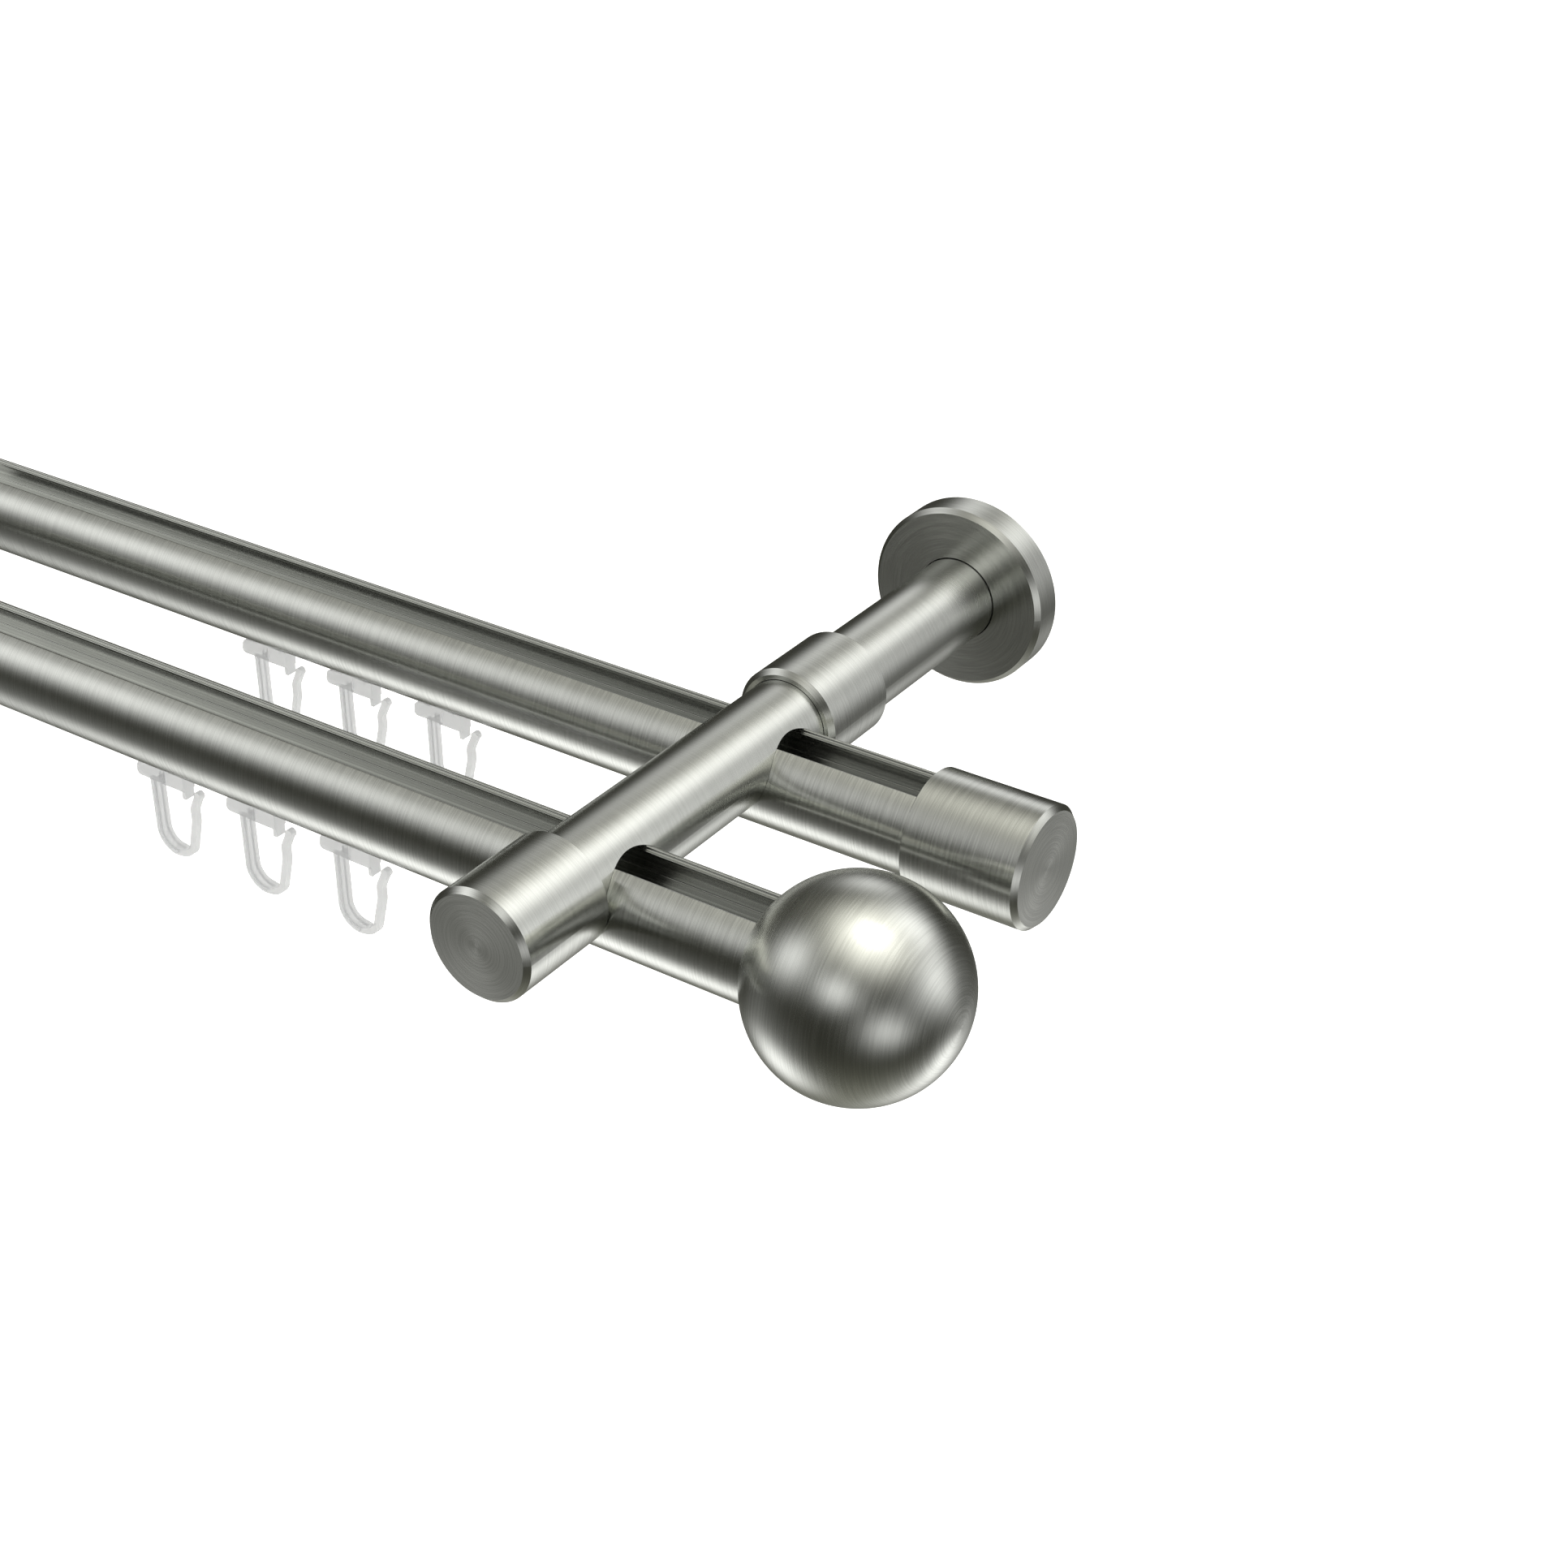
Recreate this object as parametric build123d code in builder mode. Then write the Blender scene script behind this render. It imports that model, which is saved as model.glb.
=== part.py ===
from build123d import *
import os
from math import sqrt

# Double curtain rod: two slotted round rails on one wall arm, a ball and a sleeve on their right ends,
# and three hook gliders on each rail. Millimetres. The origin is the middle of the wall face, on the
# axis of the arm. X runs along the rails to the right, Y into the wall, Z up.

# Rails
rail_radius = 10.0
front_rail_wall_distance = 132.0
rail_spacing = 49.8
rail_drop = 5.0
rail_left_reach = 225.0
rail_edge_radius = 0.25
rail_wall = 1.3

# Fixing groove along the top of a rail: a mouth with a ledge on each side, a lip below it, the undercut
groove_opening = 7.3
groove_mouth_depth = 0.7
groove_ledge_width = 0.7
groove_lip_thickness = 0.7
groove_width = 10.2
groove_floor = 3.35
groove_corner_radius = 0.2

# Glider channel along the bottom of a rail
slot_width = 3.6
channel_width = 7.6
channel_lip = 8.3
channel_roof = 2.4

# Arm, its front cap, the collar behind the rear rail and the tube to the wall
arm_radius = 9.0
arm_overhang = 32.2
arm_chamfer = 0.4
sleeve_radius = 11.0
sleeve_chamfer = 1.0
sleeve_edge_break = 0.15
arm_cap_floor = 5.0
collar_length = 19.5
tube_bore_radius = 6.5

# Wall plate and the rosette over it
rosette_radius = 20.0
rosette_depth = 7.3
rosette_chamfer = 1.0
rosette_face = 2.0
rosette_rim = 2.3
rosette_hole_play = 0.2
plate_thickness = 4.0
spigot_length = 14.0
spigot_chamfer = 0.4
wall_hole_radius = 2.25
sink_angle = 90.0

# Ball and sleeve on the right ends of the rails
ball_radius = 20.0
ball_centre = 55.0
ball_bore_past_centre = 3.0
ball_flat_radius = 0.4
end_cap_radius = 12.0
end_cap_start = 39.6
end_cap_length = 24.0
end_cap_chamfer = 1.0
end_cap_floor = 3.4

# Grub screws, by thread radius, with their hexagon sockets; the chamfer is that of a medium screw
large_screw_radius = 2.5
medium_screw_radius = 2.0
small_screw_radius = 1.5
socket_share = 0.5
socket_depth_share = 0.4
screw_chamfer = 0.4
screw_sink = 0.1
rail_screw_length = 8.0
medium_screw_length = 4.0
ball_screw_length = 6.0
ball_screw_station = 45.5

# Gliders: a head in the channel, a neck through the slot, a bar below and a hook on the bar
glider_pitch = 24.8
glider_count = 3
front_glider_start = -109.1
rear_glider_start = -128.8
head_length = 8.0
head_height = 2.0
head_corner = 1.6
neck_length = 6.0
bar_length = 12.4
bar_width = 4.0
bar_roof = 11.6
bar_shoulder = 13.6
bar_underside = 14.7
bar_head_length = 7.4
bar_end_radius = 1.0
bar_tail_width = 3.0
bar_tail_underside = 15.3
catch_depth = 2.5
catch_thickness = 0.9
catch_width = 2.4
hook_depth = 31.8
hook_thickness = 1.4
hook_width = 2.6
hook_tip_width = 1.4
hook_rib = 0.4
hook_web = 1.4
hook_leg = 2.8
hook_heel = 5.0
hook_shank = 7.2
hook_waist = 22.3
hook_throat = 19.4
hook_tip_lead = 8.9
hook_tip_drop = 15.8
hook_knob_radius = 0.9
hook_taper_start = 1.6
hook_bends = (4.3, 3.0, 4.0, 3.0)

# Clearances
saddle_clearance = 0.05
sleeve_clearance = 0.1
screw_clearance = 0.05
shoulder_clearance = 0.2
end_clearance = 0.3
running_clearance = 0.15
head_play = 0.35
sink_edge_clearance = 0.15

# Places that follow from the sizes above
front_rail_y = -front_rail_wall_distance
rear_rail_y = front_rail_y + rail_spacing
rail_z = -rail_drop
groove_mouth = groove_opening + 2 * groove_ledge_width
groove_ledge = sqrt(rail_radius**2 - (groove_mouth / 2) ** 2) - groove_mouth_depth
groove_lip = groove_ledge - groove_lip_thickness
saddle_radius = rail_radius + saddle_clearance
sleeve_bore_radius = arm_radius + sleeve_clearance
arm_cap_front = front_rail_y - arm_overhang
arm_cap_rear = front_rail_y - rail_radius - shoulder_clearance
arm_front = arm_cap_front + arm_cap_floor + end_clearance
collar_front = rear_rail_y + rail_radius + shoulder_clearance
collar_rear = collar_front + collar_length
collar_middle = (collar_front + collar_rear) / 2
arm_rear = collar_middle - end_clearance / 2
tube_front = collar_middle + end_clearance / 2
tube_rear = -plate_thickness
spigot_radius = tube_bore_radius - sleeve_clearance
plate_radius = rosette_radius - rosette_rim - shoulder_clearance
wall_hole_spread = plate_radius + arm_radius
wall_hole_sink_radius = (plate_radius - arm_radius) / 2 - sink_edge_clearance
ball_bore_end = ball_centre - ball_bore_past_centre
front_rail_right = ball_bore_end - end_clearance
end_cap_end = end_cap_start + end_cap_length
rear_rail_right = end_cap_end - end_cap_floor - end_clearance
rail_seat = sqrt(rail_radius**2 - (rail_drop - large_screw_radius) ** 2) + screw_clearance
spot_floor = sleeve_radius - screw_sink - medium_screw_length - screw_clearance
spigot_spot_floor = arm_radius - screw_sink - medium_screw_length - screw_clearance
spigot_tip = -plate_thickness - spigot_length
cap_screw_y = (arm_front + arm_cap_rear) / 2
collar_arm_screw_y = (collar_front + arm_rear) / 2
collar_tube_screw_y = (tube_front + collar_rear) / 2
tube_screw_y = (spigot_tip - rosette_depth) / 2
rosette_screw_y = -plate_thickness / 2
rosette_screw_length = rosette_radius - screw_sink - plate_radius - screw_clearance
end_cap_screw_station = end_cap_start + end_cap_length / 2
end_cap_screw_length = end_cap_radius - screw_sink - rail_radius - screw_clearance


def across(axis_y, station=0.0):
    """Plane across a rail: local x is Y, local y is Z, and it faces +X."""
    return Plane(origin=(station, axis_y, rail_z), x_dir=(0, 1, 0), z_dir=(1, 0, 0))


def behind(axis_y, station, distance):
    """Plane on the wall side of a rail, facing the wall, at a distance from the rail's axis."""
    return Plane(origin=(station, axis_y + distance, rail_z), x_dir=(1, 0, 0), z_dir=(0, 1, 0))


def facing_room(station):
    """Plane across the arm, facing the room."""
    return Plane(origin=(0, station, 0), x_dir=(1, 0, 0), z_dir=(0, -1, 0))


def facing_wall(station):
    """Plane across the arm, facing the wall."""
    return Plane(origin=(0, station, 0), x_dir=(1, 0, 0), z_dir=(0, 1, 0))


def facing_down(station, drop):
    """Level plane below the arm's axis, facing down."""
    return Plane(origin=(0, station, -drop), x_dir=(1, 0, 0), z_dir=(0, 0, -1))


def along(axis_y):
    """Level plane through a rail's axis: local x is X and local y is Y."""
    return Plane(origin=(0, axis_y, rail_z), x_dir=(1, 0, 0), z_dir=(0, 0, 1))


def make_rail(axis_y, right_end):
    """Extruded rail: round outside, fixing groove on top, glider channel below, three hollow cells."""
    cell_top = groove_floor - rail_wall
    side_inner = channel_width / 2 + rail_wall
    side_radius = rail_radius - rail_wall
    side_top = (sqrt(side_radius**2 - cell_top**2), cell_top)
    side_middle = (side_radius, 0)
    side_bottom = (side_inner, -sqrt(side_radius**2 - side_inner**2))
    with BuildPart() as rail:
        with BuildSketch(across(axis_y, -rail_left_reach)) as section:
            Circle(rail_radius)
            with BuildLine():
                groove = FilletPolyline(
                    (groove_mouth / 2, rail_radius),
                    (groove_mouth / 2, groove_ledge),
                    (groove_opening / 2, groove_ledge),
                    (groove_opening / 2, groove_lip),
                    (groove_width / 2, groove_lip),
                    (groove_width / 2, groove_floor),
                    (-groove_width / 2, groove_floor),
                    (-groove_width / 2, groove_lip),
                    (-groove_opening / 2, groove_lip),
                    (-groove_opening / 2, groove_ledge),
                    (-groove_mouth / 2, groove_ledge),
                    (-groove_mouth / 2, rail_radius),
                    radius=groove_corner_radius,
                )
                Line(groove @ 1, groove @ 0)
            make_face(mode=Mode.SUBTRACT)
            with Locations((0, -channel_roof)):
                Rectangle(
                    channel_width, channel_lip - channel_roof,
                    align=(Align.CENTER, Align.MAX), mode=Mode.SUBTRACT,
                )
                Rectangle(
                    slot_width, rail_radius - channel_roof,
                    align=(Align.CENTER, Align.MAX), mode=Mode.SUBTRACT,
                )
            mouths = section.vertices().filter_by(
                lambda v: sqrt(v.X**2 + v.Y**2) > rail_radius - rail_edge_radius / 2 and abs(v.Y) > slot_width
            )
            fillet(mouths, rail_edge_radius)
            with Locations((0, cell_top)):
                Rectangle(
                    channel_width, cell_top + channel_roof - rail_wall,
                    align=(Align.CENTER, Align.MAX), mode=Mode.SUBTRACT,
                )
            with BuildLine():
                Line((side_inner, cell_top), side_top)
                ThreePointArc(side_top, side_middle, side_bottom)
                Line(side_bottom, (side_inner, cell_top))
            side_cell = make_face(mode=Mode.SUBTRACT)
            mirror(side_cell, about=Plane.YZ, mode=Mode.SUBTRACT)
        extrude(amount=rail_left_reach + right_end)
    return rail


def make_grub_screw(head, radius, length):
    """Headless screw: the plane is its socket end and faces outwards."""
    with BuildPart() as screw:
        with BuildSketch(head):
            Circle(radius)
        extrude(amount=-length)
        chamfer(screw.edges().filter_by(GeomType.CIRCLE), screw_chamfer * length / medium_screw_length)
        with BuildSketch(head):
            RegularPolygon(radius * socket_share, 6, major_radius=False)
        extrude(amount=-length * socket_depth_share, mode=Mode.SUBTRACT)
    return screw


def finish(piece, name):
    """Label a piece and write it to its own file."""
    piece.part.label = name
    export_step(piece.part, f"parts/{name}.step")


def make_glider(centre, axis_y):
    """One moulded glider with its hook, hanging in the channel of the rail at axis_y."""
    side = Plane(origin=(centre, axis_y, rail_z), x_dir=(1, 0, 0), z_dir=(0, -1, 0))
    plan = Plane(origin=(centre, axis_y, rail_z))
    neck_width = slot_width - 2 * running_clearance
    head_seat = running_clearance - channel_lip
    bottom = hook_thickness / 2 - hook_depth
    route = [
        (-hook_leg, -bar_shoulder),
        (-hook_leg, bottom),
        (hook_heel, bottom),
        (hook_shank, -hook_waist),
        (hook_shank, -hook_throat),
        (hook_tip_lead, -hook_tip_drop),
    ]
    with BuildPart() as glider:
        with BuildSketch(side):
            with BuildLine():
                FilletPolyline(route, radius=hook_bends)
                offset(amount=hook_thickness / 2)
            make_face()
            with Locations(route[-1]):
                Circle(hook_knob_radius)
        extrude(amount=hook_width / 2, both=True)
        with BuildSketch(side):
            with BuildLine():
                FilletPolyline(route, radius=hook_bends)
                offset(amount=hook_thickness / 2 - hook_rib)
            make_face()
            with Locations((hook_taper_start, 0)):
                Rectangle(
                    hook_depth, 3 * hook_depth,
                    align=(Align.MIN, Align.CENTER), mode=Mode.SUBTRACT,
                )
        extrude(amount=hook_width / 2, both=True, mode=Mode.SUBTRACT)
        with BuildSketch(side):
            with BuildLine():
                FilletPolyline(route, radius=hook_bends)
                offset(amount=hook_thickness / 2 - hook_rib)
            make_face()
        extrude(amount=hook_web / 2, both=True)
        with BuildSketch(plan.offset(-hook_depth)):
            with BuildLine():
                Polyline(
                    (-bar_length, hook_width / 2),
                    (hook_taper_start, hook_width / 2),
                    (hook_heel, hook_tip_width / 2),
                    (bar_length, hook_tip_width / 2),
                    (bar_length, -hook_tip_width / 2),
                    (hook_heel, -hook_tip_width / 2),
                    (hook_taper_start, -hook_width / 2),
                    (-bar_length, -hook_width / 2),
                    close=True,
                )
            make_face()
        extrude(amount=hook_depth, mode=Mode.INTERSECT)
        with BuildSketch(across(axis_y, centre - bar_length / 2)):
            with BuildLine():
                Polyline(
                    (-bar_width / 2, -bar_underside),
                    (-bar_width / 2, -bar_shoulder),
                    (-neck_width / 2, -bar_roof),
                    (neck_width / 2, -bar_roof),
                    (bar_width / 2, -bar_shoulder),
                    (bar_width / 2, -bar_underside),
                    close=True,
                )
            make_face()
        extrude(amount=bar_head_length)
        fillet(glider.edges().filter_by(Axis.Y).group_by(Axis.X)[0], bar_end_radius)
        with BuildSketch(plan.offset(-bar_tail_underside)):
            Rectangle(bar_length / 2, bar_tail_width, align=(Align.MIN, Align.CENTER))
        extrude(amount=bar_tail_underside - bar_roof)
        with BuildSketch(plan.offset(-bar_underside - catch_depth)):
            with Locations((bar_length / 2, 0)):
                Rectangle(catch_thickness, catch_width, align=(Align.MAX, Align.CENTER))
        extrude(amount=catch_depth)
        with BuildSketch(plan.offset(-bar_roof)):
            SlotOverall(neck_length, neck_width)
        extrude(amount=bar_roof + head_seat)
        with BuildSketch(plan.offset(head_seat)):
            RectangleRounded(head_length, channel_width - 2 * head_play, head_corner)
        extrude(amount=head_height)
    return glider


os.makedirs("parts", exist_ok=True)

# Rails
front_rail = make_rail(front_rail_y, front_rail_right)
finish(front_rail, "front_rail")
rear_rail = make_rail(rear_rail_y, rear_rail_right)
finish(rear_rail, "rear_rail")

# Arm: a round bar with a saddle bored across it for each rail, tapped from both ends and spotted below
with BuildPart() as bracket_arm:
    with BuildSketch(Plane.XY):
        with BuildLine():
            Polyline(
                (0, arm_front),
                (arm_radius - arm_chamfer, arm_front),
                (arm_radius, arm_front + arm_chamfer),
                (arm_radius, arm_rear),
                (0, arm_rear),
                close=True,
            )
        make_face()
    revolve(axis=Axis.Y)
    for rail_y in (front_rail_y, rear_rail_y):
        with BuildSketch(across(rail_y)):
            Circle(saddle_radius)
        extrude(amount=arm_radius, both=True, mode=Mode.SUBTRACT)
    with BuildSketch(facing_wall(arm_front)):
        Circle(large_screw_radius + screw_clearance)
    extrude(amount=front_rail_y - arm_front, mode=Mode.SUBTRACT)
    with BuildSketch(facing_room(arm_rear)):
        Circle(large_screw_radius + screw_clearance)
    extrude(amount=arm_rear - rear_rail_y, mode=Mode.SUBTRACT)
    for station in (cap_screw_y, collar_arm_screw_y):
        with BuildSketch(facing_down(station, spot_floor)):
            Circle(medium_screw_radius + screw_clearance)
        extrude(amount=arm_radius, mode=Mode.SUBTRACT)
finish(bracket_arm, "bracket_arm")

# Grub screws in the arm's two ends, each pressing a rail into its saddle
front_rail_screw = make_grub_screw(
    facing_room(front_rail_y - rail_seat - rail_screw_length), large_screw_radius, rail_screw_length
)
finish(front_rail_screw, "front_rail_screw")
rear_rail_screw = make_grub_screw(
    facing_wall(rear_rail_y + rail_seat + rail_screw_length), large_screw_radius, rail_screw_length
)
finish(rear_rail_screw, "rear_rail_screw")

# Cap over the arm's front end
with BuildPart() as arm_end_cap:
    with BuildSketch(Plane.XY):
        with BuildLine():
            Polyline(
                (0, arm_cap_front),
                (sleeve_radius - sleeve_chamfer, arm_cap_front),
                (sleeve_radius, arm_cap_front + sleeve_chamfer),
                (sleeve_radius, arm_cap_rear - sleeve_edge_break),
                (sleeve_radius - sleeve_edge_break, arm_cap_rear),
                (sleeve_bore_radius, arm_cap_rear),
                (sleeve_bore_radius, arm_cap_front + arm_cap_floor),
                (0, arm_cap_front + arm_cap_floor),
                close=True,
            )
        make_face()
    revolve(axis=Axis.Y)
    with BuildSketch(facing_down(cap_screw_y, 0)):
        Circle(medium_screw_radius + screw_clearance)
    extrude(amount=sleeve_radius, mode=Mode.SUBTRACT)
finish(arm_end_cap, "arm_end_cap")

# Collar that joins the arm to the wall tube behind the rear rail
with BuildPart() as arm_collar:
    with BuildSketch(Plane.XY):
        with BuildLine():
            Polyline(
                (sleeve_bore_radius, collar_front),
                (sleeve_radius - sleeve_chamfer, collar_front),
                (sleeve_radius, collar_front + sleeve_chamfer),
                (sleeve_radius, collar_rear - sleeve_edge_break),
                (sleeve_radius - sleeve_edge_break, collar_rear),
                (sleeve_bore_radius, collar_rear),
                close=True,
            )
        make_face()
    revolve(axis=Axis.Y)
    for station in (collar_arm_screw_y, collar_tube_screw_y):
        with BuildSketch(facing_down(station, 0)):
            Circle(medium_screw_radius + screw_clearance)
        extrude(amount=sleeve_radius, mode=Mode.SUBTRACT)
finish(arm_collar, "arm_collar")

# Tube from the collar to the wall plate
with BuildPart() as wall_tube:
    with BuildSketch(Plane.XY):
        with BuildLine():
            Polyline(
                (tube_bore_radius, tube_front),
                (arm_radius, tube_front),
                (arm_radius, tube_rear),
                (tube_bore_radius, tube_rear),
                close=True,
            )
        make_face()
    revolve(axis=Axis.Y)
    with BuildSketch(facing_down(collar_tube_screw_y, spot_floor)):
        Circle(medium_screw_radius + screw_clearance)
    extrude(amount=arm_radius, mode=Mode.SUBTRACT)
    with BuildSketch(facing_down(tube_screw_y, 0)):
        Circle(medium_screw_radius + screw_clearance)
    extrude(amount=arm_radius, mode=Mode.SUBTRACT)
finish(wall_tube, "wall_tube")

# Wall plate with two countersunk screw holes and a spigot that carries the tube
with BuildPart() as wall_plate:
    with BuildSketch(Plane.XY):
        with BuildLine():
            Polyline(
                (0, 0),
                (plate_radius, 0),
                (plate_radius, -plate_thickness),
                (spigot_radius, -plate_thickness),
                (spigot_radius, spigot_tip + spigot_chamfer),
                (spigot_radius - spigot_chamfer, spigot_tip),
                (0, spigot_tip),
                close=True,
            )
        make_face()
    revolve(axis=Axis.Y)
    with Locations(facing_room(-plate_thickness)):
        with GridLocations(wall_hole_spread, 0, 2, 1):
            CounterSinkHole(
                wall_hole_radius, wall_hole_sink_radius,
                depth=plate_thickness, counter_sink_angle=sink_angle,
            )
    with BuildSketch(facing_down(tube_screw_y, spigot_spot_floor)):
        Circle(medium_screw_radius + screw_clearance)
    extrude(amount=spigot_radius, mode=Mode.SUBTRACT)
finish(wall_plate, "wall_plate")

# Rosette: a turned cover over the wall plate
with BuildPart() as wall_rosette:
    with BuildSketch(Plane.XY):
        with BuildLine():
            Polyline(
                (arm_radius + rosette_hole_play, -rosette_depth),
                (rosette_radius - rosette_chamfer, -rosette_depth),
                (rosette_radius, rosette_chamfer - rosette_depth),
                (rosette_radius, 0),
                (rosette_radius - rosette_rim, 0),
                (rosette_radius - rosette_rim, rosette_face - rosette_depth),
                (arm_radius + rosette_hole_play, rosette_face - rosette_depth),
                close=True,
            )
        make_face()
    revolve(axis=Axis.Y)
    with BuildSketch(facing_down(rosette_screw_y, 0)):
        Circle(small_screw_radius + screw_clearance)
    extrude(amount=rosette_radius, mode=Mode.SUBTRACT)
finish(wall_rosette, "wall_rosette")

# Grub screws from below, through the sleeves, the tube and the rosette's rim
sleeve_screw_head = spot_floor + screw_clearance + medium_screw_length
tube_screw_head = spigot_spot_floor + screw_clearance + medium_screw_length
arm_cap_screw = make_grub_screw(
    facing_down(cap_screw_y, sleeve_screw_head), medium_screw_radius, medium_screw_length
)
finish(arm_cap_screw, "arm_cap_screw")
collar_arm_screw = make_grub_screw(
    facing_down(collar_arm_screw_y, sleeve_screw_head), medium_screw_radius, medium_screw_length
)
finish(collar_arm_screw, "collar_arm_screw")
collar_tube_screw = make_grub_screw(
    facing_down(collar_tube_screw_y, sleeve_screw_head), medium_screw_radius, medium_screw_length
)
finish(collar_tube_screw, "collar_tube_screw")
wall_tube_screw = make_grub_screw(
    facing_down(tube_screw_y, tube_screw_head), medium_screw_radius, medium_screw_length
)
finish(wall_tube_screw, "wall_tube_screw")
rosette_screw = make_grub_screw(
    facing_down(rosette_screw_y, rosette_radius - screw_sink), small_screw_radius, rosette_screw_length
)
finish(rosette_screw, "rosette_screw")

# Ball on the front rail, bored to take the rail's end, with the small turned flat at its tip
ball_mouth = ball_centre - sqrt(ball_radius**2 - saddle_radius**2)
ball_tip = ball_centre + sqrt(ball_radius**2 - ball_flat_radius**2)
with BuildPart() as ball_finial:
    with BuildSketch(along(front_rail_y)):
        with BuildLine():
            ThreePointArc(
                (ball_mouth, saddle_radius), (ball_centre, ball_radius), (ball_tip, ball_flat_radius)
            )
            Polyline(
                (ball_tip, ball_flat_radius),
                (ball_tip, 0),
                (ball_bore_end, 0),
                (ball_bore_end, saddle_radius),
                (ball_mouth, saddle_radius),
            )
        make_face()
    revolve(axis=Axis((0, front_rail_y, rail_z), (1, 0, 0)))
    with BuildSketch(behind(front_rail_y, ball_screw_station, 0)):
        Circle(medium_screw_radius + screw_clearance)
    extrude(amount=ball_radius, mode=Mode.SUBTRACT)
finish(ball_finial, "ball_finial")
ball_screw = make_grub_screw(
    behind(front_rail_y, ball_screw_station, rail_radius + screw_clearance + ball_screw_length),
    medium_screw_radius,
    ball_screw_length,
)
finish(ball_screw, "ball_screw")

# Sleeve over the rear rail's end
with BuildPart() as rear_end_cap:
    with BuildSketch(along(rear_rail_y)):
        with BuildLine():
            Polyline(
                (end_cap_start, saddle_radius),
                (end_cap_start, end_cap_radius - sleeve_edge_break),
                (end_cap_start + sleeve_edge_break, end_cap_radius),
                (end_cap_end - end_cap_chamfer, end_cap_radius),
                (end_cap_end, end_cap_radius - end_cap_chamfer),
                (end_cap_end, 0),
                (end_cap_end - end_cap_floor, 0),
                (end_cap_end - end_cap_floor, saddle_radius),
                close=True,
            )
        make_face()
    revolve(axis=Axis((0, rear_rail_y, rail_z), (1, 0, 0)))
    with BuildSketch(behind(rear_rail_y, end_cap_screw_station, 0)):
        Circle(small_screw_radius + screw_clearance)
    extrude(amount=end_cap_radius, mode=Mode.SUBTRACT)
finish(rear_end_cap, "rear_end_cap")
end_cap_screw = make_grub_screw(
    behind(rear_rail_y, end_cap_screw_station, end_cap_radius - screw_sink),
    small_screw_radius,
    end_cap_screw_length,
)
finish(end_cap_screw, "end_cap_screw")

# Gliders
for number in range(glider_count):
    step = number * glider_pitch
    front_glider = make_glider(front_glider_start + step, front_rail_y)
    finish(front_glider, f"front_glider_{number + 1}")
    rear_glider = make_glider(rear_glider_start + step, rear_rail_y)
    finish(rear_glider, f"rear_glider_{number + 1}")
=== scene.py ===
from math import cos, pi, radians, sin

import bpy
from mathutils import Matrix, Vector

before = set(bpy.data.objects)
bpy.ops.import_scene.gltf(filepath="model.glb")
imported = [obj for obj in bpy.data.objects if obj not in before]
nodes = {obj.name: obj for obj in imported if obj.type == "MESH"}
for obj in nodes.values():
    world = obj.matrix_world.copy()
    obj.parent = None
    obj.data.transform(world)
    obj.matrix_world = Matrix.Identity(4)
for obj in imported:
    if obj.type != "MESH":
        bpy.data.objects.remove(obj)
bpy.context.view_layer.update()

# Places in the row frame, in metres: the axes that the pieces are turned round, and the ball
ARM_AXIS = (0.0, 0.0, 0.0)
FRONT_AXIS = (0.0, -0.132, -0.005)
REAR_AXIS = (0.0, -0.0822, -0.005)
BALL_CENTRE = (0.055, -0.132, -0.005)
BALL_RADIUS = 0.02
# What lies nearer to a rail's axis than this is its drawn inside, with die lines and painted shade
RAIL_SKIN = 0.0098

# Colours: brushed steel, the plate's zinc, the grub screws, and the plastic's two shades
STEEL = (0.60, 0.61, 0.58)
ZINC = (0.55, 0.56, 0.57)
DARK_STEEL = (0.34, 0.34, 0.35)
PLASTIC_DARK = (0.87, 0.88, 0.91)
PLASTIC_LIGHT = (0.95, 0.96, 0.98)

# Brushed lines, fine and coarse: how many per metre across them and along them, and their shares
FINE_LINES = (3500.0, 110.0)
COARSE_LINES = (945.0, 60.0)
FINE_SHARE, COARSE_SHARE = 0.9, 0.1
LINE_DETAIL = 1.5
# How far the lines change the tint, how far lines and stains change the roughness, and the lines' relief
LINE_CONTRAST = 0.1
LINE_ROUGHNESS, STAIN_ROUGHNESS = 0.02, 0.014
RELIEF_STRENGTH, RELIEF_HEIGHT = 0.2, 0.000004
# An end face is one whose normal lies along the axis by more than this share
END_FACE = 0.9
# Highlights are drawn out across the lines, a quarter turn from the tangent that runs with them
QUARTER_TURN = 0.25

# Die lines inside a rail, darker on the whole than the tint, so they also paint shade in the groove: how
# many per metre along and across it, their shades and their roughness
DIE_LINES = (3.0, 1500.0)
DIE_DETAIL = 1.0
DIE_DARK_AND_SHADE, DIE_LIGHT = 0.66, 1.06
DIE_ROUGHNESS = 0.19

# Where a noise's values mostly lie, and their middle
LINE_RANGE = (0.36, 0.64)
DIE_RANGE = (0.35, 0.65)
NOISE_RANGE = (0.3, 0.7)
NOISE_MIDDLE = 0.5
UNIT = (0.0, 1.0)

# A mix node's sockets for colours
MIX_FACTOR, MIX_FIRST, MIX_SECOND, MIX_RESULT = 0, 6, 7, 2

# What the metal mirrors. The room is dim, and less so straight above and below. It is olive, as it lacks
# a share of blue, and the warm lamp lacks a little green and blue.
ROOM_LEVEL, ROOM_POLES, ROOM_FALLOFF = 0.046, 0.17, 4.0
ROOM_LACKS_BLUE = 0.2
WARM_LACKS_GREEN, WARM_LACKS_BLUE = 0.015, 0.08
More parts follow.
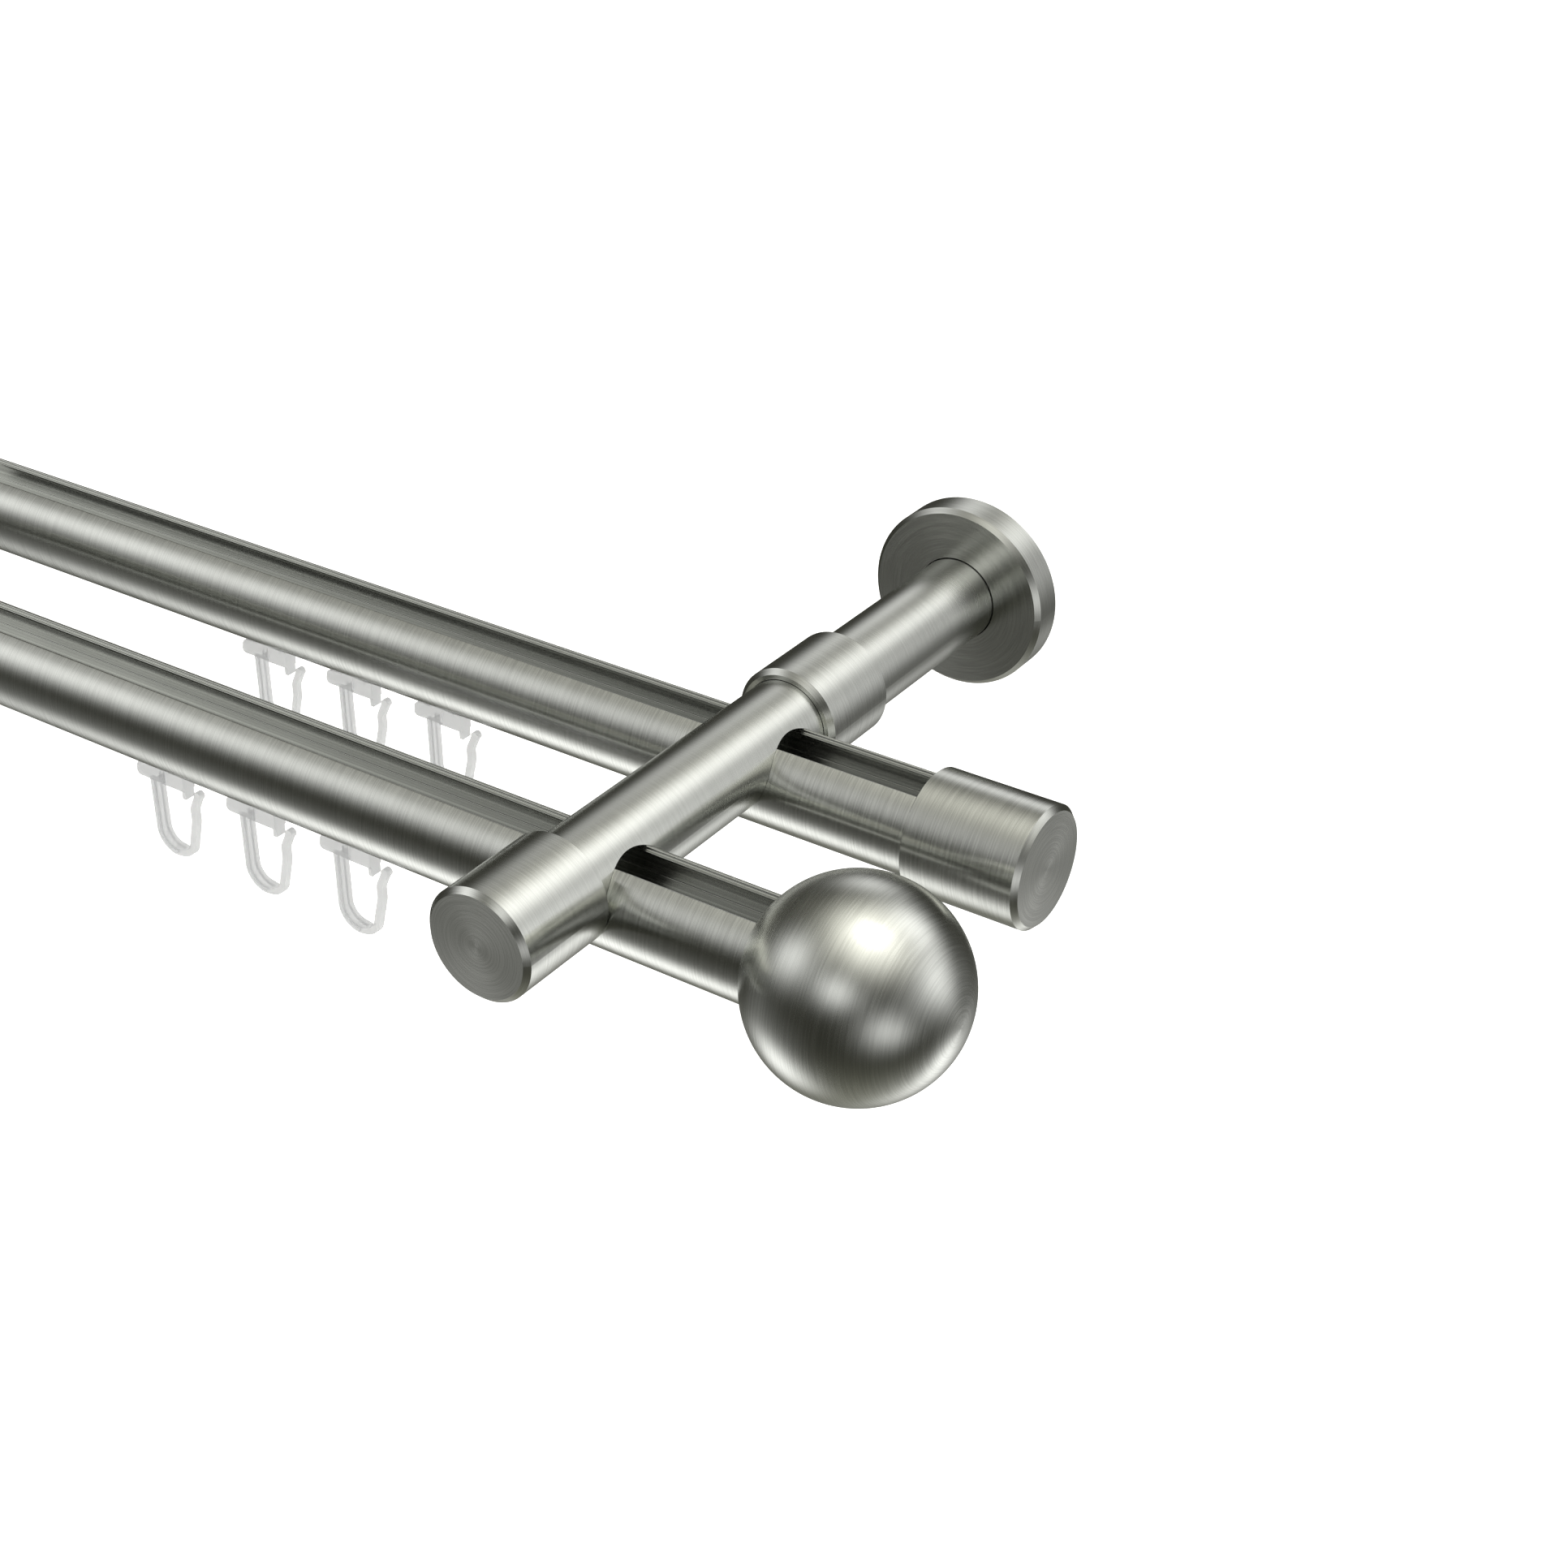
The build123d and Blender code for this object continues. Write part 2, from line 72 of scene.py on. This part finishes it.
# Each light's azimuth and elevation in degrees, its tightness and its strength
WARM_LIGHT = (100, 78, 7, 2.2)
WHITE_LIGHTS = (
    (-57, 29, 20, 1.45),
    (8, 29, 30, 1.5),
    (50, 55, 30, 0.15),
    (57, -8, 26, 1.1),
    (85, 8, 20, 0.2),
    (118, 11, 15, 1.4),
    (153, 40, 20, 1.5),
    (-154, 26, 38, 1.1),
    (148, -16, 20, 0.12),
    (-66, -22, 30, 0.15),
    (-34, -28, 30, 0.07),
    (-61, -54, 26, 1.85),
    (100, -66, 16, 0.15),
    (131, -48, 44, 1.15),
    (154, -46, 44, 0.45),
    (148, -64, 24, 0.9),
    (-160, -52, 12, 0.12))


class Tree:
    """Short names for building a node tree."""

    def __init__(self, owner):
        owner.use_nodes = True
        self.nodes = owner.node_tree.nodes
        self.links = owner.node_tree.links
        self.nodes.clear()

    def fill(self, node, inputs):
        for key, value in inputs.items():
            if isinstance(value, bpy.types.NodeSocket):
                self.links.new(value, node.inputs[key])
            else:
                node.inputs[key].default_value = value

    def add(self, kind, inputs=None, **settings):
        node = self.nodes.new(kind)
        for key, value in settings.items():
            setattr(node, key, value)
        self.fill(node, inputs or {})
        return node

    def maths(self, operation, *values):
        return self.add("ShaderNodeMath", dict(enumerate(values)), operation=operation).outputs[0]

    def plus(self, first, second):
        return self.maths("ADD", first, second)

    def minus(self, first, second):
        return self.maths("SUBTRACT", first, second)

    def times(self, first, second):
        return self.maths("MULTIPLY", first, second)

    def vector_maths(self, operation, *values, result="Vector"):
        node = self.add("ShaderNodeVectorMath", dict(enumerate(values)), operation=operation)
        return node.outputs[result]

    def vector(self, x, y, z):
        return self.add("ShaderNodeCombineXYZ", {0: x, 1: y, 2: z}).outputs[0]

    def parts(self, vector):
        return self.add("ShaderNodeSeparateXYZ", {0: vector}).outputs

    def noise(self, vector, detail, scale=1.0):
        node = self.add("ShaderNodeTexNoise", {"Vector": vector, "Scale": scale, "Detail": detail})
        return node.outputs["Fac"]

    def streaks(self, first, others, rates, detail):
        """Noise that changes at one rate with the first value and at another with the two others."""
        rest = [self.times(value, rates[1]) for value in others]
        return self.noise(self.vector(self.times(first, rates[0]), *rest), detail)

    def span(self, value, source, target):
        node = self.add("ShaderNodeMapRange", {
            "Value": value,
            "From Min": source[0],
            "From Max": source[1],
            "To Min": target[0],
            "To Max": target[1]})
        return node.outputs["Result"]

    def mix(self, factor, first, second):
        sockets = {MIX_FACTOR: factor, MIX_FIRST: first, MIX_SECOND: second}
        return self.add("ShaderNodeMix", sockets, data_type="RGBA").outputs[MIX_RESULT]

    def shade(self, factor, dark, light):
        return self.mix(factor, (*dark, 1), (*light, 1))

    def relief(self, height, strength, distance):
        inputs = {"Height": height, "Strength": strength, "Distance": distance}
        return self.add("ShaderNodeBump", inputs).outputs[0]


def new_material(name):
    material = bpy.data.materials.new(name)
    tree = Tree(material)
    shader = tree.add("ShaderNodeBsdfPrincipled")
    tree.add("ShaderNodeOutputMaterial", {"Surface": shader.outputs[0]})
    return material, tree, shader


def wear(node, material):
    for slot in nodes[node].material_slots:
        slot.material = material


def scaled(colour, factor):
    return [channel * factor for channel in colour]


def brushed(name, axis, centre, tint=STEEL, roughness=0.24, anisotropy=0.7, grain=1.0,
            faces=1.4, ends=0.7, skin=0.0, ball=0.0):
    """Metal brushed in circles round an axis, with faint stains.

    grain is how strong the lines are, faces how close on the end faces, and ends how much deeper there.
    Nearer to the axis than skin the metal has die lines instead, as the inside of a drawn rail has, and is
    darker on the whole: painted shade in the groove.
    On a ball of the radius ball the lines are as far apart everywhere.
    """
    material, tree, shader = new_material(name)
    place = tree.add("ShaderNodeTexCoord").outputs["Object"]
    parts = tree.parts(tree.vector_maths("SUBTRACT", place, centre))
    along = parts["XYZ".index(axis)]
    side = [parts[i] for i in range(3) if "XYZ"[i] != axis]
    radius = tree.maths("SQRT", tree.plus(tree.times(side[0], side[0]), tree.times(side[1], side[1])))
    if ball:
        across = tree.times(tree.maths("ARCTAN2", radius, along), ball)
    else:
        across = tree.plus(along, tree.times(radius, faces))
    fine = tree.streaks(across, side, FINE_LINES, LINE_DETAIL)
    coarse = tree.streaks(across, side, COARSE_LINES, LINE_DETAIL)
    lines = tree.plus(tree.times(fine, FINE_SHARE), tree.times(coarse, COARSE_SHARE))
    stains = tree.noise(place, detail=4.0, scale=38.0)

    normal = tree.parts(tree.add("ShaderNodeNewGeometry").outputs["True Normal"])
    flat = tree.maths("GREATER_THAN", tree.maths("ABSOLUTE", normal["XYZ".index(axis)]), END_FACE)
    depth = tree.plus(tree.times(flat, ends), 1.0)
    lines = tree.plus(tree.times(tree.minus(lines, NOISE_MIDDLE), depth), NOISE_MIDDLE)

    outer = tree.maths("GREATER_THAN", radius, skin)
    if skin:
        drawn = tree.streaks(along, side, DIE_LINES, DIE_DETAIL)
        lines = tree.plus(drawn, tree.times(outer, tree.minus(lines, drawn)))
    contrast = LINE_CONTRAST * grain
    tone = tree.shade(tree.span(lines, LINE_RANGE, UNIT),
                      scaled(tint, 1 - contrast), scaled(tint, 1 + contrast))
    if skin:
        # Inside the rail: die lines, plus painted shade, since their shades lie darker than the tint on the
        # whole
        inside_lines_and_shade = tree.shade(tree.span(drawn, DIE_RANGE, UNIT),
                           scaled(tint, DIE_DARK_AND_SHADE), scaled(tint, DIE_LIGHT))
        tone = tree.mix(outer, inside_lines_and_shade, tone)

    change = LINE_ROUGHNESS * grain
    uneven = tree.plus(tree.span(lines, NOISE_RANGE, (-change, change)),
                       tree.span(stains, NOISE_RANGE, (-STAIN_ROUGHNESS, STAIN_ROUGHNESS)))
    tree.fill(shader, {
        "Base Color": tone,
        "Roughness": tree.plus(uneven, tree.span(outer, UNIT, (DIE_ROUGHNESS, roughness))),
        "Metallic": 1.0,
        "Anisotropic": anisotropy,
        "Anisotropic Rotation": QUARTER_TURN,
        "Tangent": tree.add("ShaderNodeTangent", direction_type="RADIAL", axis=axis).outputs[0],
        "Normal": tree.relief(lines, RELIEF_STRENGTH * grain, RELIEF_HEIGHT)})
    return material


def plastic(name):
    """Natural translucent moulded plastic, a little uneven."""
    material, tree, shader = new_material(name)
    place = tree.add("ShaderNodeTexCoord").outputs["Object"]
    cloud = tree.noise(place, detail=3.0, scale=260.0)
    skin = tree.noise(place, detail=2.0, scale=2600.0)
    tree.fill(shader, {
        "Base Color": tree.shade(cloud, PLASTIC_DARK, PLASTIC_LIGHT),
        "Roughness": tree.span(skin, NOISE_RANGE, (0.3, 0.42)),
        "IOR": 1.5,
        "Alpha": 0.57,
        "Normal": tree.relief(skin, strength=0.08, distance=0.0002)})
    return material


def outward(azimuth, elevation):
    """Direction from the rod, of angles in degrees. Azimuth 0 is the room's side and 90 the right."""
    a, e = radians(azimuth), radians(elevation)
    return Vector((sin(a) * cos(e), -cos(a) * cos(e), sin(e)))


def glow(tree, direction, azimuth, elevation, tightness, strength):
    """A soft light that is brightest at its own place and weaker away from it."""
    near = tree.vector_maths("DOT_PRODUCT", direction, outward(azimuth, elevation), result="Value")
    return tree.times(tree.maths("POWER", tree.maths("MAXIMUM", near, 0.0), tightness), strength)


def studio(tree, direction):
    """What the metal mirrors, as a colour: a dim olive room, a warm lamp above and soft white lights."""
    height = tree.maths("POWER", tree.parts(direction)[2], ROOM_FALLOFF)
    dim = tree.plus(tree.times(height, ROOM_POLES), ROOM_LEVEL)
    warm = glow(tree, direction, *WARM_LIGHT)
    total = tree.plus(dim, warm)
    for light in WHITE_LIGHTS:
        total = tree.plus(total, glow(tree, direction, *light))
    green = tree.minus(total, tree.times(warm, WARM_LACKS_GREEN))
    blue = tree.minus(total, tree.times(dim, ROOM_LACKS_BLUE))
    blue = tree.minus(blue, tree.times(warm, WARM_LACKS_BLUE))
    return tree.vector(total, green, blue)


# Materials
for node, centre in (("front_rail", FRONT_AXIS), ("rear_rail", REAR_AXIS)):
    wear(node, brushed(f"{node}_brushed", "X", centre, grain=0.85, faces=0.0, skin=RAIL_SKIN))
satin = brushed("arm_satin", "Y", ARM_AXIS, roughness=0.26, anisotropy=0.5, grain=0.4)
for node in ("bracket_arm", "wall_tube"):
    wear(node, satin)
turned = brushed("turned_brushed", "Y", ARM_AXIS, grain=0.6)
for node in ("arm_end_cap", "arm_collar", "wall_rosette"):
    wear(node, turned)
wear("rear_end_cap", brushed("rear_cap_brushed", "X", REAR_AXIS, grain=0.75))
wear("ball_finial", brushed("ball_brushed", "X", BALL_CENTRE, roughness=0.26, grain=0.8, ends=0.0,
                            ball=BALL_RADIUS))
wear("wall_plate", brushed("plate_zinc", "Y", ARM_AXIS, tint=ZINC, roughness=0.4, anisotropy=0.2, grain=0.4))
grub = brushed("grub_steel", "Z", ARM_AXIS, tint=DARK_STEEL, roughness=0.36, anisotropy=0.2, grain=0.6)
milky = plastic("glider_nylon")
for node in nodes:
    if node.endswith("_screw"):
        wear(node, grub)
    if "_glider_" in node:
        wear(node, milky)

scene = bpy.context.scene

# Floor far below: to the camera white, with the rod's faint shadow, and to the metal the same room
# as the world
FLOOR_Z, FLOOR_REACH = -1.1, 30.0
FLOOR_GREY, FLOOR_LIFT = 0.8, 0.75
WHITE = (1.0, 1.0, 1.0, 1.0)
corners = [(x * FLOOR_REACH, y * FLOOR_REACH, FLOOR_Z) for x, y in ((-1, -1), (1, -1), (1, 1), (-1, 1))]
mesh = bpy.data.meshes.new("floor")
mesh.from_pydata(corners, [], [(0, 1, 2, 3)])
floor = bpy.data.objects.new("floor", mesh)
scene.collection.objects.link(floor)
pale = bpy.data.materials.new("floor_pale")
tree = Tree(pale)
path = tree.add("ShaderNodeLightPath").outputs
matt = tree.add("ShaderNodeBsdfDiffuse", {"Color": (FLOOR_GREY, FLOOR_GREY, FLOOR_GREY, 1)})
lift = tree.add("ShaderNodeEmission", {
    "Color": WHITE,
    "Strength": tree.times(path["Is Camera Ray"], FLOOR_LIFT)})
lit = tree.add("ShaderNodeAddShader", {0: matt.outputs[0], 1: lift.outputs[0]})
away = tree.vector_maths("NORMALIZE", tree.add("ShaderNodeTexCoord").outputs["Object"])
room = tree.add("ShaderNodeEmission", {"Color": studio(tree, away), "Strength": 1.0})
either = tree.add("ShaderNodeMixShader", {0: path["Is Glossy Ray"], 1: lit.outputs[0], 2: room.outputs[0]})
tree.add("ShaderNodeOutputMaterial", {"Surface": either.outputs[0]})
floor.data.materials.append(pale)

# World: white to the camera and the room with its soft lights to everything else. Matt surfaces get
# a soft fill as well, which keeps the plastic pale.
MATT_FILL = 0.1
world = bpy.data.worlds.new("studio")
tree = Tree(world)
path = tree.add("ShaderNodeLightPath").outputs
room = studio(tree, tree.add("ShaderNodeTexCoord").outputs["Generated"])
room = tree.vector_maths("ADD", room, tree.times(path["Is Diffuse Ray"], MATT_FILL))
shown = tree.mix(path["Is Camera Ray"], room, WHITE)
sky = tree.add("ShaderNodeBackground", {"Color": shown, "Strength": 1.0})
tree.add("ShaderNodeOutputWorld", {"Surface": sky.outputs[0]})
scene.world = world

# Square lamp above, which faces the middle of the rod
ROD_MIDDLE = Vector((-0.02, -0.1, 0.0))
LAMP_DISTANCE, LAMP_SIDE, LAMP_RADIANCE = 1.2, 0.5, 0.7
out = outward(100, 76)
data = bpy.data.lights.new("lamp_top", "AREA")
data.shape = "SQUARE"
data.size = LAMP_SIDE
data.energy = LAMP_RADIANCE * pi * LAMP_SIDE * LAMP_SIDE
lamp = bpy.data.objects.new("lamp_top", data)
lamp.location = ROD_MIDDLE + out * LAMP_DISTANCE
lamp.rotation_mode = "QUATERNION"
lamp.rotation_quaternion = out.to_track_quat("Z", "Y")
lamp.visible_camera = False
scene.collection.objects.link(lamp)

# Camera at the photograph's place and angle: metres, degrees, and pixels of the photograph
CAMERA_PLACE = (0.231856, -0.419017, 0.236535)
CAMERA_AZIMUTH, CAMERA_ELEVATION, CAMERA_ROLL = 33.7617, 30.9593, 0.3416
FOCAL_PIXELS, PHOTO_PIXELS, SENSOR_WIDTH = 3060.393, 1932, 36.0
back = outward(CAMERA_AZIMUTH, CAMERA_ELEVATION)
level = (-back).cross(Vector((0, 0, 1))).normalized()
rise = level.cross(-back)
roll = radians(CAMERA_ROLL)
right = level * cos(roll) + rise * sin(roll)
up = rise * cos(roll) - level * sin(roll)
data = bpy.data.cameras.new("camera")
data.sensor_width = SENSOR_WIDTH
data.lens = FOCAL_PIXELS / PHOTO_PIXELS * SENSOR_WIDTH
data.clip_start, data.clip_end = 0.01, 100.0
camera = bpy.data.objects.new("camera", data)
turn = Matrix((right, up, back)).transposed().to_4x4()
camera.matrix_world = Matrix.Translation(CAMERA_PLACE) @ turn
scene.collection.objects.link(camera)
scene.camera = camera

scene.view_settings.view_transform = "Standard"
